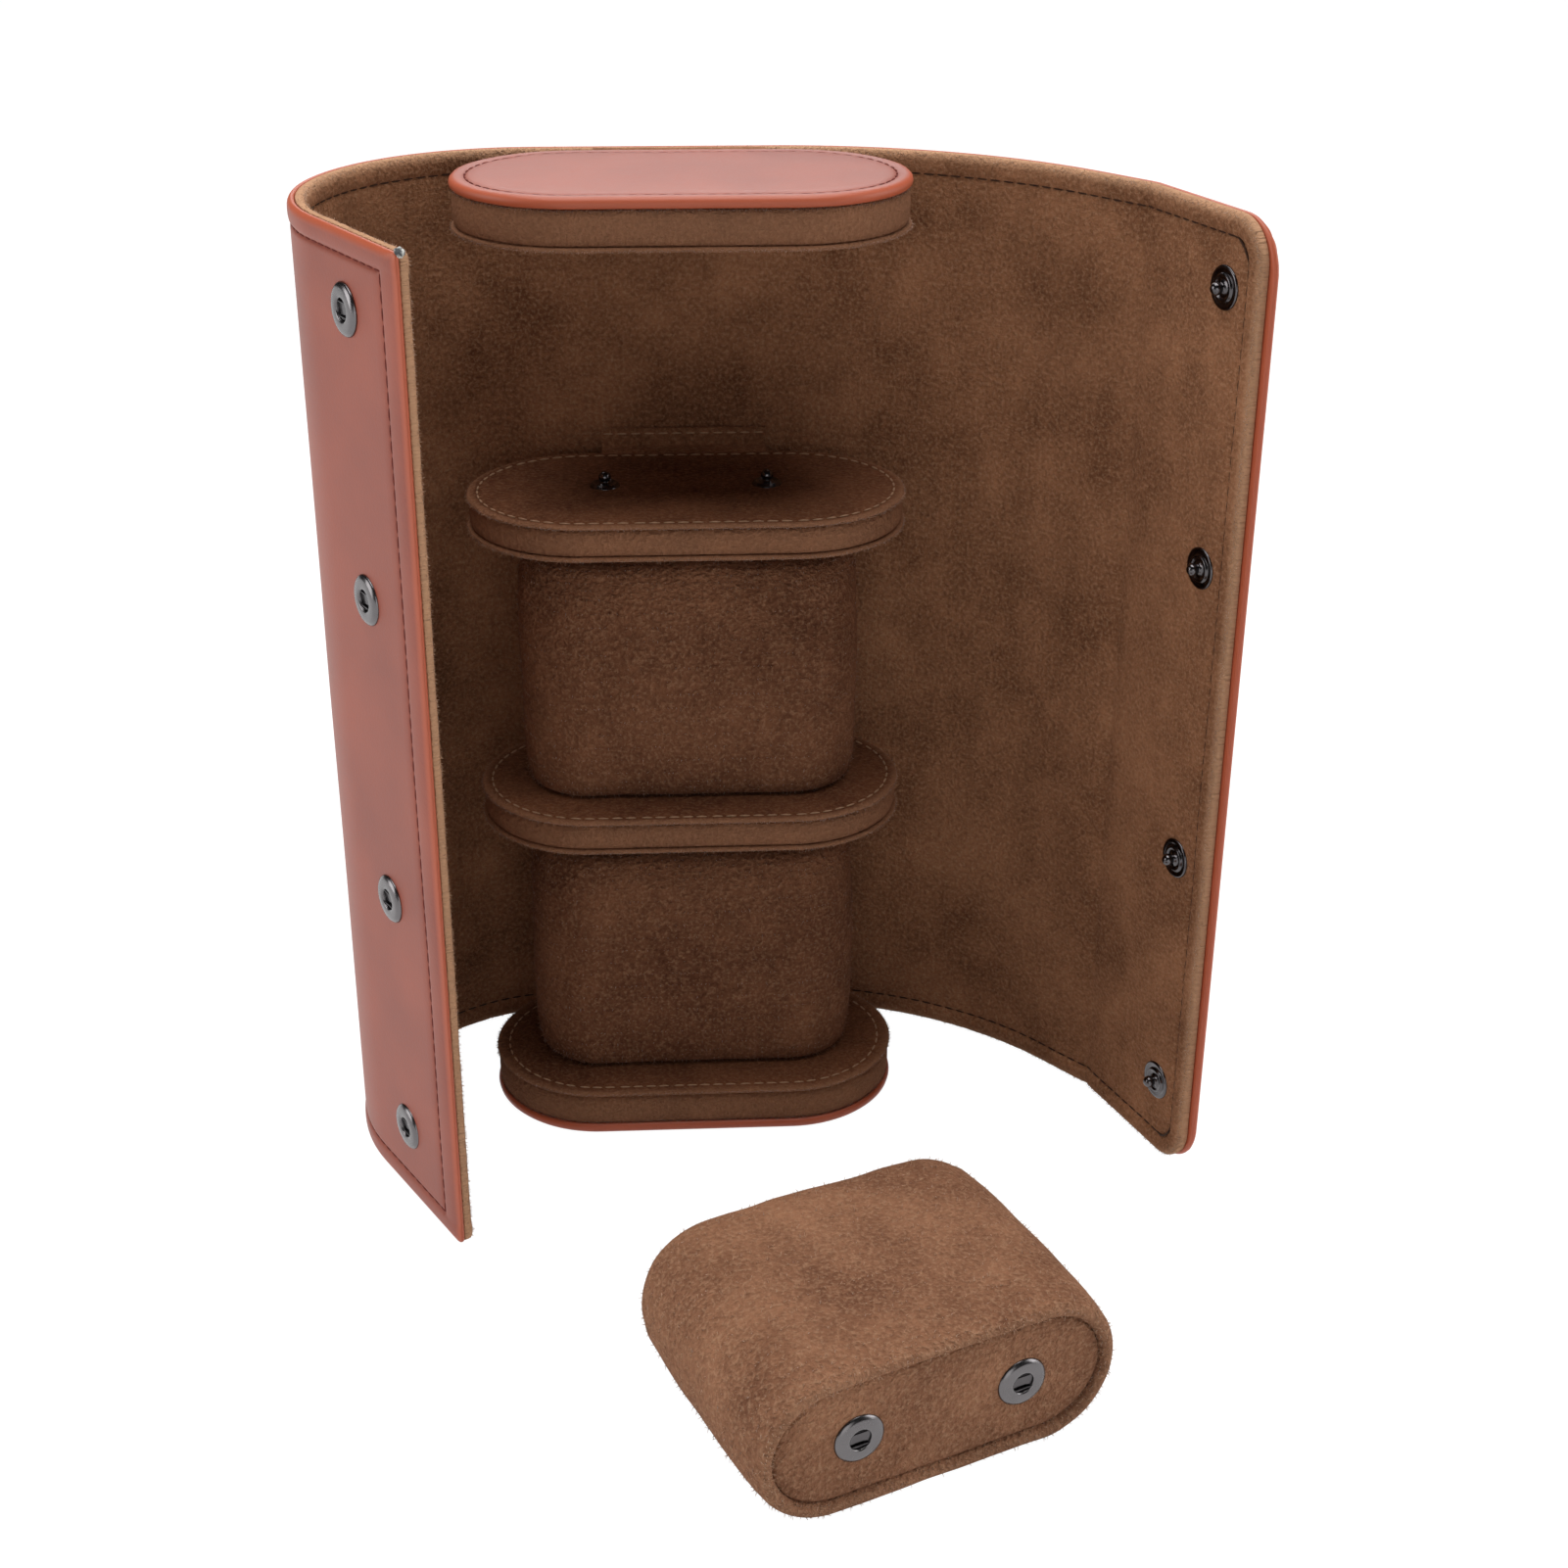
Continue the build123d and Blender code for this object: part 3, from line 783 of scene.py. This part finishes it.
def stadium(bm, outline, width, depth, around=160):
    """Sweeps an outline of (set-in, height) points round a stadium and closes it at both ends."""
    bmesh.ops.create_grid(bm, x_segments=around, y_segments=len(outline) - 1, size=0.5)
    for vert in bm.verts:
        share, row = vert.co.x + 0.5, round((vert.co.y + 0.5) * (len(outline) - 1))
        set_in, height = outline[row]
        vert.co = round_stadium(share, set_in, width, depth)[0] + Vector((0, 0, height))
    bmesh.ops.remove_doubles(bm, verts=bm.verts[:], dist=1e-4)


def lip_hairs(name, lips, body, count=1100):
    """Loose fibres along the lips of a disc's suede, each lip a (set-in, height, rise)."""
    roots = []
    for set_in, height, rise in lips:
        for index in range(count):
            share = (index + hair_chance.random()) / count
            root, outwards = round_stadium(share, set_in, disc_width, disc_depth)
            root.z = height + hair_chance.uniform(-0.25, 0.25)
            roots.append((root, outwards + Vector((0, 0, rise))))
    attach(hair_piece(name + "_hairs", roots, edge_hair_length, 0.07, disc_hair), body)


def fill_in(outline, radius):
    """Carries an outline's two ends in to the middle of the stadium."""
    steps = (0.35, 0.62, 0.82, 1.0)
    first, last = outline[0], outline[-1]
    inner = [(first[0] + (radius - first[0]) * s, first[1]) for s in reversed(steps)]
    outer = [(last[0] + (radius - last[0]) * s, last[1]) for s in steps]
    return [*inner, *outline, *outer]


suede_top = [(0.8, 6.78), (1.15, 6.9), (0.8, 7.0), (0.15, 7.1), (-0.12, 7.35), (-0.05, 7.68)]
suede_top += [(0.35, 7.94), (0.9, 8.05), (1.5, 8.0), (1.9, 7.84), (2.1, 7.76), (2.3, 7.84)]
suede_top += [(2.8, 7.98), (5.0, 8.04), (9, 8.06)]
band_side = [(0.8, 1.3), (0.5, 1.5), (0.32, 2.2), (0.26, 4.0), (0.32, 5.8), (0.5, 6.5)]
suede_base = [(9, -0.04), (5.0, -0.02), (3.4, 0.0), (2.8, 0.2), (2.2, 0.0), (0.9, -0.02)]
suede_base += [(0.25, 0.1), (-0.12, 0.42), (-0.08, 0.8), (0.3, 1.02), (0.8, 1.08), (1.1, 1.18)]
leather_rim = [(9.0, 8.45), (1.6, 8.45), (0.9, 8.5), (0.3, 8.66), (-0.1, 9.05), (-0.22, 9.6)]
leather_rim += [(-0.05, 10.25), (0.45, 10.75), (1.3, 11.0), (2.2, 10.98), (2.75, 10.75)]
leather_rim += [(3.1, 10.58), (3.45, 10.75), (4.1, 10.98), (6.0, 11.1), (11.0, 11.22)]

disc_suede = suede_paint(
    "disc_suede", (0.066, 0.022, 0.0095), (0.190, 0.074, 0.034), (0.34, 0.17, 0.095), "Object"
)
disc_leather = leather_paint("disc_leather", leather_dark, leather_light, leather_painted_edge_light, "Object")
disc_hair = hair_paint("disc_hair", (0.13, 0.055, 0.026), (0.34, 0.17, 0.095))
pale_thread = thread_paint("pale_thread", (0.44, 0.26, 0.155))


def raise_by(outline, lift):
    """The same outline, higher up."""
    return [(d, z + lift) for d, z in outline]


def disc_piece(name, outline, body, nodes, material, slot, ruffle=0.12):
    """One covered part of a disc, with a slightly uneven surface."""
    bm = bmesh.new()
    rim = bm.verts.layers.float.new("rim")
    stadium(bm, fill_in(outline, disc_depth / 2), disc_width, disc_depth)
    bmesh.ops.recalc_face_normals(bm, faces=bm.faces[:])
    bm.normal_update()
    for vert in bm.verts:
        across = max(abs(vert.co.x) - (disc_width - disc_depth) / 2, 0.0)
        from_edge = disc_depth / 2 - math.hypot(across, vert.co.y)
        # Within 1.6 mm of the outline the colour turns towards the edge colour. On the leather this is
        # painted light, a brighter orange where the sheen haze does not fall. On the suede it is the paler
        # cut lips, and also painted light on the front-facing band.
        vert[rim] = max(0.0, 1.0 - from_edge / 1.6) * (0.65 if slot == "brown_suede" else 0.9)
        vert.co += vert.normal * lumps(vert.co, 7.0, ruffle) * (0.4 + min(max(from_edge, 0), 6) / 10)
    piece = finish_mesh(bm, name, material)
    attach(piece, body)
    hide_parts(*nodes)


def ring_stitches(name, set_in, height, body, material, downwards=False):
    """Stitching round a disc's face, a little in from the rim."""
    radius, straight = disc_depth / 2 - set_in, (disc_width - disc_depth) / 2
    route = []
    arc_steps = 24
    for side in (1, -1):
        for step in range(arc_steps + 1):
            turn = math.pi * step / arc_steps - math.pi / 2
            route.append(
                Vector((side * (straight + radius * math.cos(turn)), side * radius * math.sin(turn), height))
            )
    route.append(route[0])
    points = [route[0]]
    for near, far in zip(route, route[1:]):
        count = max(round((far - near).length / 0.5), 1)
        points += [near.lerp(far, (k + 1) / count) for k in range(count)]
    runs = np.cumsum([0.0] + [(b - a).length for a, b in zip(points, points[1:])])
    count = round(runs[-1] / stitch_pitch)
    bm = bmesh.new()
    for index in range(count):
        middle = (index + 0.5) * runs[-1] / count
        at = int(np.searchsorted(runs, middle))
        heading = points[min(at + 1, len(points) - 1)] - points[max(at - 2, 0)]
        sew(bm, points[at], heading, Vector((0, 0, -1 if downwards else 1)), 1.2, 0.24)
    stitching = finish_mesh(bm, name, material, sharp=80)
    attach(stitching, body)


stud_spots = [Matrix.Translation((x, snap_line, 0)) for x in (-snap_spacing / 2, snap_spacing / 2)]
for name, bottom in (("upper_divider", 141.0), ("lower_divider", 73.0)):
    outline = raise_by(suede_base + band_side + suede_top, bottom)
    nodes = [name + tail for tail in ("_top_face", "_base_face", "_band", "_core")]
    disc_piece(name + "_cover", outline, name, nodes, disc_suede, "brown_suede")
    ring_stitches(name + "_top_stitching", 2.1, bottom + 7.94, name, pale_thread)
    ring_stitches(name + "_base_stitching", 2.8, bottom + 0.1, name, brown_thread, True)
    lip_hairs(name, ((-0.1, bottom + 0.5, -0.6), (-0.1, bottom + 7.3, -0.2)), name)
    spots = [Matrix.Translation((0, 0, bottom + 8.05)) @ spot for spot in stud_spots]
    stud_parts(name + "_snap_studs", spots, name, name + "_studs", sunk_flange)

# The top cap has its leather above and suede below; the bottom cap is the other way up
tall_band = [(0.8, 1.3), (0.5, 1.6), (0.3, 2.6), (0.22, 5.1), (0.3, 7.2), (0.5, 8.1), (0.95, 8.5)]
top_cap_bottom = 205.0
cap_thick = 11.0
disc_piece(
    "top_cap_suede",
    raise_by(suede_base + tall_band, top_cap_bottom),
    "top_cap",
    ["top_cap_base_face", "top_cap_band", "top_cap_core"],
    disc_suede,
    "brown_suede",
)
disc_piece(
    "top_cap_leather",
    raise_by(leather_rim, top_cap_bottom),
    "top_cap",
    ["top_cap_top_face"],
    disc_leather,
    "tan_leather",
    0.06,
)
ring_stitches("top_cap_stitching", 3.1, top_cap_bottom + 10.7, "top_cap", red_thread)
ring_stitches("top_cap_base_stitching", 2.8, top_cap_bottom + 0.1, "top_cap", brown_thread, True)
lip_hairs("top_cap", ((-0.1, top_cap_bottom + 0.5, -0.6), (0.5, top_cap_bottom + 8.35, -0.8)), "top_cap")


def turned_over(outline, thickness):
    """The same outline for the other face of a disc."""
    return [(d, thickness - z) for d, z in reversed(outline)]


disc_piece(
    "bottom_cap_suede",
    turned_over(suede_base + tall_band, cap_thick),
    "back",
    ["bottom_cap_top_face", "bottom_cap_band", "bottom_cap_core"],
    disc_suede,
    "brown_suede",
)
flat_base = [(d, min(z, cap_thick)) for d, z in leather_rim]
disc_piece(
    "bottom_cap_leather",
    turned_over(flat_base, cap_thick),
    "back",
    ["bottom_cap_base_face"],
    disc_leather,
    "tan_leather",
    0.0,
)
ring_stitches("bottom_cap_top_stitching", 2.8, 10.9, "back", pale_thread)
ring_stitches("bottom_cap_base_stitching", 3.1, 0.36, "back", red_thread, True)
lip_hairs("bottom_cap", ((-0.1, 10.5, 0.5), (0.5, 2.7, 0.8)), "back")
stud_parts(
    "bottom_cap_snap_studs",
    [Matrix.Translation((0, 0, 11.05)) @ spot for spot in stud_spots],
    "back",
    "bottom_cap_studs",
    sunk_flange,
)

# Sewn tabs
# A strip of suede stitched flat to the lining and turned out to the back edge of each disc, so
# that the disc can tilt on it.
tab_width, tab_thick = 37.0, 0.9
tab_stitches = 12
tab_suede = suede_paint(
    "tab_suede", (0.105, 0.040, 0.018), (0.300, 0.133, 0.066), (0.44, 0.25, 0.14), "Object"
)
for name, top, body in (
    ("top_cap", 216.0, "top_cap"),
    ("upper_divider", 149.0, "upper_divider"),
    ("lower_divider", 81.0, "lower_divider"),
    ("bottom_cap", 11.0, None),
):
    sewn = min(top - 1.0, 209.2)
    sewn_top = max(top, sewn + 5.0)
    path = [(23.8, top - 1.2), (25.2, top - 0.7), (26.6, top - 0.65), (28.4, top - 0.8)]
    path += [(29.8, top - 0.7), (30.6, top - 0.2), (30.85, top + 0.5), (30.85, sewn_top)]
    if name == "top_cap":
        path = [*path[:5], (30.6, top - 1.2), (30.85, top - 2.2), (30.85, sewn)]
    bm = bmesh.new()
    bmesh.ops.create_grid(bm, x_segments=36, y_segments=len(path) - 1, size=0.5)
    for vert in bm.verts:
        y, z = path[round((vert.co.y + 0.5) * (len(path) - 1))]
        wave = lumps((vert.co.x * 40, y, z), 6.0, 0.12)
        vert.co = Vector((vert.co.x * tab_width, y, z + wave))
    bmesh.ops.recalc_face_normals(bm, faces=bm.faces[:])
    bmesh.ops.solidify(bm, geom=bm.faces[:], thickness=tab_thick)
    bm.verts.layers.float.new("rim")
    tab = finish_mesh(bm, name + "_tab", tab_suede)
    row = bmesh.new()
    seam_height = sewn_top - 1.2
    for index in range(tab_stitches):
        x = (index - (tab_stitches - 1) / 2) * stitch_pitch
        sew(row, Vector((x, 30.0, seam_height)), Vector((1, 0, 0)), Vector((0, -1, 0)))
    seam = finish_mesh(row, name + "_tab_stitching", pale_thread, sharp=80)
    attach(seam, "back")
    if body:
        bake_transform(tab)
    else:
        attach(tab, "back")
    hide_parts("sewn_tabs")

# Watch cushions
# Firm foam rolls in plush suede, fullest at mid length. At the snap end the cover rolls over into a
# deep seam, and a flat suede panel with the two sockets sits inside it.
cushion_width, cushion_thick, cushion_length = 74.0, 32.0, 54.5
cushion_rim = [(4.9, 4.2), (4.3, 3.2), (4.0, 2.0), (3.75, 1.1), (3.35, 0.5), (2.8, 0.15)]
cushion_rim += [(2.25, 0.2), (1.7, 0.55), (1.25, 1.1), (1.0, 2.0), (0.85, 3.4)]
cushion_end = [(1.0, 50.0), (1.3, 51.6), (1.9, 52.9), (2.8, 53.8), (4.0, 54.3), (5.6, 54.5)]
cushion_end += [(8.0, 54.55), (11, 54.6)]
end_panel = [(0.1, 3.4), (0.05, 2.3), (0.3, 1.6), (0.9, 1.25), (2.2, 1.16), (4.5, 1.16), (7.0, 1.2)]
panel_width, panel_thick = cushion_width - 7.6, 24.4
rests_at = 0.1
plush_hairs, plush_length, plush_radius = 5000, 0.9, 0.08
# The same suede twice, with light and shade painted in: a darker, shaded copy for the two cushions inside the
# roll, and a lighter, lit copy for the cushion lying out in the open.
cushion_suede = suede_paint(
    "cushion_suede", (0.085, 0.031, 0.015), (0.238, 0.101, 0.051), (0.40, 0.22, 0.125), "Object", 1.1
)
lit_suede_copy = suede_paint(
    "brushed_cushion_suede", (0.135, 0.056, 0.030), (0.320, 0.152, 0.083), (0.46, 0.28, 0.17), "Object", 1.1
)


def cushion_outline():
    """Rim, crowned side and rounded far end, as (set-in, height) points."""
    side = []
    side_low, side_high, side_steps = 4.8, 49.0, 14
    for step in range(side_steps + 1):
        height = side_low + step * (side_high - side_low) / side_steps
        share = (height - cushion_length / 2) / (cushion_length / 2)
        side.append((0.95 * share * share, height))
    return cushion_rim + side + cushion_end


def cushion(name, where, body, swollen, suede):
    """The cover, the end panel and its sockets of one cushion, swollen across and along it."""
    seed = Vector((len(name) * 3.7, 11.3, len(body) * 5.1))
    bm = bmesh.new()
    rim = bm.verts.layers.float.new("rim")
    stadium(bm, fill_in(cushion_outline(), cushion_thick / 2), cushion_width, cushion_thick, 200)
    bmesh.ops.recalc_face_normals(bm, faces=bm.faces[:])
    bm.normal_update()
    for vert in bm.verts:
        spot = Vector(vert.co) + seed
        body_share = rolled(vert.co.z, 12.0)
        dents = lumps(spot, 17.0, 0.55) + lumps(spot, 6.0, 0.16)
        vert.co += vert.normal * dents * (0.35 + 0.65 * body_share)
        vert[rim] = max(0.0, 0.2 - vert.co.z / 6.0) if vert.co.z < 3 else 0.0
    fuller = Matrix.Diagonal((1 + swollen[0], 1 + swollen[0], 1 + swollen[1], 1.0))
    bmesh.ops.transform(bm, matrix=where @ fuller, verts=bm.verts[:])
    for vert in bm.verts:
        vert.co.z = max(vert.co.z, rests_at)
    bm.faces.ensure_lookup_table()
    bm.normal_update()
    roots = []
    for _ in range(plush_hairs):
        tuft_face = bm.faces[hair_chance.randrange(len(bm.faces))]
        root = tuft_face.calc_center_bounds()
        if root.z > rests_at + 0.5:
            roots.append((root, tuft_face.normal + Vector((0.3, -0.2, 0.1))))
    # The lighter, lit copy also gets the paler fibres, as part of its painted light
    hair = loose_hair if suede is lit_suede_copy else disc_hair
    plush = hair_piece(name + "_hairs", roots, plush_length, plush_radius, hair)
    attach(plush, body)
    cover = finish_mesh(bm, name + "_suede", suede, sharp=120)
    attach(cover, body)
    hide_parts(name + "_cover", name + "_core")
    panel = bmesh.new()
    panel.verts.layers.float.new("rim")
    stadium(panel, fill_in(end_panel, panel_thick / 2), panel_width, panel_thick, 120)
    panel.normal_update()
    for vert in panel.verts:
        vert.co.z += lumps(vert.co + seed, 8.0, 0.16) * (vert.co.z < 2)
    bmesh.ops.transform(panel, matrix=where @ fuller, verts=panel.verts[:])
    face = finish_mesh(panel, name + "_panel", suede, sharp=120)
    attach(face, body)
    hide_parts(name + "_end_panel")
    facing = Matrix.Rotation(math.pi, 4, "X")
    seats = (-snap_spacing / 2, snap_spacing / 2)
    spots = [where @ Matrix.Translation((x, 0, 1.3)) @ facing for x in seats]
    rings, springs = socket_parts(name + "_snap", spots)
    for piece in (rings, springs):
        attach(piece, body)
        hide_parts(name + "_sockets")


# How much fuller a cushion is than its plain outline, across and along it
snug, loose = (0.02, 0.0), (0.065, 0.045)
# The cushions inside the roll wear the darker copy, with shade painted into it
for name, seat in (("lower_cushion", 11.3), ("middle_cushion", 81.3)):
    cushion(name, Matrix.Translation((0, snap_line, seat)), name, snug, cushion_suede)
lying = math.radians(23.5)
lying_axes = Matrix(
    ((math.cos(lying), math.sin(lying), 0), (0, 0, -1), (-math.sin(lying), math.cos(lying), 0))
).transposed()
lies_at = Matrix.Translation((43.5, -143.5, cushion_thick / 2)) @ lying_axes.to_4x4()
# The cushion lying in the open wears the lighter copy, with light painted into it
cushion("loose_cushion", lies_at, "loose_cushion", loose, lit_suede_copy)

# Floor, backdrop and light
# A plain white table, lit evenly: broad softboxes stand above, behind, in front and at both sides. The
# camera and the shiny snaps see a glowing white, and everything else sees plain paper.
table_half, table_drop = 6000.0, 0.3
glow_strength, glow_share = 1.15, 0.86
floor_bm = bmesh.new()
bmesh.ops.create_grid(floor_bm, x_segments=1, y_segments=1, size=table_half)
floor_paint = Paint("white_floor", Roughness=0.9, Specular_IOR_Level=0.0)
floor_paint.shader.inputs["Base Color"].default_value = (0.9, 0.9, 0.9, 1.0)
tree = floor_paint.tree
glow = tree.nodes.new("ShaderNodeEmission")
glow.inputs["Strength"].default_value = glow_strength
join = tree.nodes.new("ShaderNodeMixShader")
path_node = floor_paint.node("ShaderNodeLightPath")
seen = Wire(floor_paint, path_node.socket.node.outputs["Is Camera Ray"])
glossy = Wire(floor_paint, path_node.socket.node.outputs["Is Glossy Ray"])
through = Wire(floor_paint, path_node.socket.node.outputs["Is Transmission Ray"])
tree.links.new(((seen + glossy + through) * glow_share).socket, join.inputs[0])
tree.links.new(floor_paint.shader.outputs[0], join.inputs[1])
tree.links.new(glow.outputs[0], join.inputs[2])
tree.links.new(join.outputs[0], tree.nodes["Material Output"].inputs[0])
floor = finish_mesh(floor_bm, "floor", floor_paint.material)
if floor.data.polygons[0].normal.z < 0:
    floor.data.flip_normals()
floor.data.transform(Matrix.Translation((0, 0, -table_drop * MM)))

world = bpy.data.worlds.new("studio")
world.use_nodes = True
bpy.context.scene.world = world
world.node_tree.nodes["Background"].inputs["Color"].default_value = (1, 1, 1, 1)
world.node_tree.nodes["Background"].inputs["Strength"].default_value = 0.03


light_aim = Vector((0, -0.03, 0.1))


def softbox(name, place, size, power):
    """A square area light aimed at the middle of the roll."""
    data = bpy.data.lights.new(name, "AREA")
    data.shape = "SQUARE"
    data.size = size
    data.energy = power
    lamp = bpy.data.objects.new(name, data)
    bpy.context.scene.collection.objects.link(lamp)
    lamp.location = place
    lamp.rotation_euler = (light_aim - Vector(place)).to_track_quat("-Z", "Y").to_euler()


softbox("top_softbox", (0.0, 0.05, 1.3), 1.0, 15.8)
softbox("back_softbox", (0.0, 1.0, 1.0), 0.9, 9.0)
softbox("left_softbox", (-1.2, -0.2, 0.5), 0.8, 7.6)
softbox("right_softbox", (1.2, -0.1, 0.5), 0.8, 8.2)
softbox("front_fill", (0.0, -1.3, 0.25), 0.8, 3.4)

bpy.context.scene.view_settings.view_transform = "Standard"
